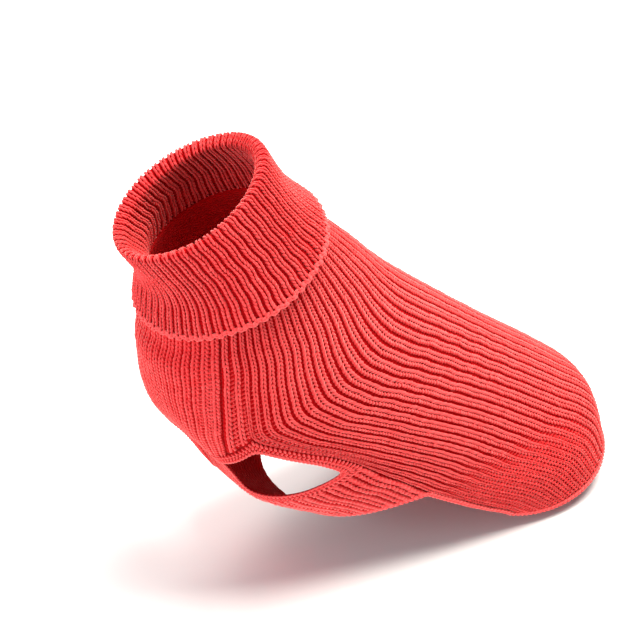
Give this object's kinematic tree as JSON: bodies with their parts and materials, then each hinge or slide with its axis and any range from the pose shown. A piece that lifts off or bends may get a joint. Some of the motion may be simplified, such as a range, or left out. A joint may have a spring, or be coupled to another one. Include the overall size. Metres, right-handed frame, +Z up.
{
  "type": "dog sweater",
  "caption": "Ribbed knit sweater for a dog, with a turned-down roll collar, open leg holes and a longer back, held in its worn shape.",
  "frame": {"origin": "the withers: the point on the back's middle line at the collar's free edge, where the sweater rests on its wearer", "axes": "+Z up with the wearer sitting, +X towards the tail, and +Y towards the wearer's right side; the collar leans forward towards -X"},
  "size_m": [0.4023, 0.1794, 0.3238],
  "materials": {
    "back_panel_yarn": "chunky ribbed knit in matt coral red yarn",
    "chest_panel_yarn": "chunky ribbed knit in matt coral red yarn",
    "collar_yarn": "chunky ribbed knit in matt coral red yarn",
    "leg_band_left_yarn": "chunky ribbed knit in matt coral red yarn",
    "leg_band_right_yarn": "chunky ribbed knit in matt coral red yarn"
  },
  "bodies": {
    "root": {"back_panel": "back_panel_yarn", "chest_panel": "chest_panel_yarn", "collar": "collar_yarn", "leg_band_left": "leg_band_left_yarn", "leg_band_right": "leg_band_right_yarn"}
  },
  "joints": []
}
